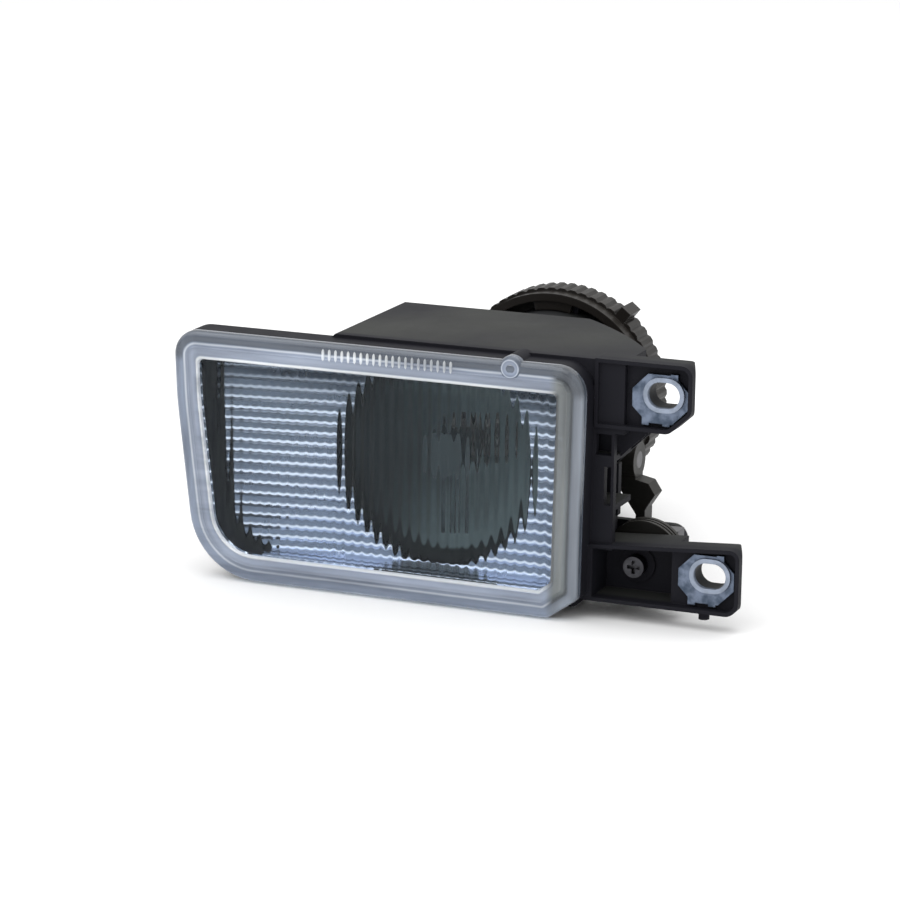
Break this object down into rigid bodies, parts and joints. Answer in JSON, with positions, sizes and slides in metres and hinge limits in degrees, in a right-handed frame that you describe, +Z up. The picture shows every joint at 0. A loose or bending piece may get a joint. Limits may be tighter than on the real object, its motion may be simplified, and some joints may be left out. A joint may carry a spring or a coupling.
{
  "type": "vehicle front fog light",
  "caption": "Rectangular vehicle front fog light: fluted glass in a moulded housing, two slotted mounting arms, aiming screw and a knurled bayonet cap behind.",
  "frame": {"origin": "centre of the upper mounting slot, on the back face of its ear", "axes": "+X towards the free ends of the arms, +Y towards the back of the lamp along the optical axis, +Z up"},
  "size_m": [0.2085, 0.1603, 0.0915],
  "materials": {
    "black_plastic": "moulded, fine grain, slightly dusty",
    "clear_glass": "clear pressed glass with vertical flutes",
    "seal_rubber": "soft, matt",
    "metallised_trim": "metallised plastic with fine horizontal steps",
    "zinc_plate": "zinc plated, dull",
    "tinned_brass": "tinned",
    "lead_insulation_red": "smooth insulation",
    "lead_insulation_black": "smooth insulation",
    "reflector_mirror": "vacuum metallised",
    "steel": "zinc plated",
    "grey_plastic": "moulded",
    "bulb_glass": "thin clear quartz glass",
    "filament": "drawn tungsten",
    "shield_metal": "pressed steel, satin",
    "wheel_plastic": "moulded",
    "cap_plastic": "moulded, fine grain"
  },
  "bodies": {
    "lamp": {"housing": "black_plastic", "glass_lens": "clear_glass", "lens_seal": "seal_rubber", "trim_plate": "metallised_trim", "slot_bush_upper": "zinc_plate", "slot_bush_lower": "zinc_plate", "vent_cap": "seal_rubber", "connector_pins": "tinned_brass", "lead_supply": "lead_insulation_red", "lead_earth": "lead_insulation_black", "pivot_bush_left": "grey_plastic", "pivot_bush_right": "grey_plastic", "pivot_o_ring": "seal_rubber", "screw_bush": "grey_plastic"},
    "reflector_unit": {"reflector": "reflector_mirror", "pivot_shaft": "steel", "aiming_lever": "black_plastic", "lever_screw": "steel", "bulb_glass": "bulb_glass", "bulb_filament": "filament", "bulb_base": "steel", "bulb_blades": "tinned_brass", "bulb_plug": "grey_plastic", "bulb_shield": "shield_metal", "bulb_clip_screw": "steel"},
    "clip": {"bulb_clip": "steel"},
    "adjuster": {"aiming_screw": "steel", "aiming_wheel": "wheel_plastic", "screw_retainer": "steel"},
    "nut": {"aiming_nut": "grey_plastic"},
    "cap": {"rear_cap": "cap_plastic", "cap_seal": "seal_rubber"}
  },
  "joints": [
    {"name": "adjuster_turn", "type": "hinge", "parent": "lamp", "child": "adjuster", "pos_m": [-0.0124, 0.01, -0.064], "axis": [0, 1, 0], "range_deg": [-486, 486]},
    {"name": "nut_slide", "type": "slide", "parent": "lamp", "child": "nut", "axis": [0, 1, 0], "range_m": [-0.00136, 0.00136]},
    {"name": "reflector_tilt", "type": "hinge", "parent": "lamp", "child": "reflector_unit", "pos_m": [-0.087, 0.034, -0.0342], "axis": [1, 0, 0], "range_deg": [-2.65, 2.65]},
    {"name": "bulb_clip_open", "type": "hinge", "parent": "reflector_unit", "child": "clip", "pos_m": [-0.087, 0.05275, -0.0188], "axis": [1, 0, 0], "range_deg": [0, 80]},
    {"name": "rear_cap_turn", "type": "hinge", "parent": "lamp", "child": "cap", "pos_m": [-0.087, 0.125, -0.0342], "axis": [0, 1, 0], "range_deg": [0, 30]}
  ],
  "couplings": [
    {"joint": "nut_slide", "follows": "adjuster_turn", "m_per_rad": -0.00015915},
    {"joint": "reflector_tilt", "follows": "adjuster_turn", "ratio": -0.0053408}
  ]
}
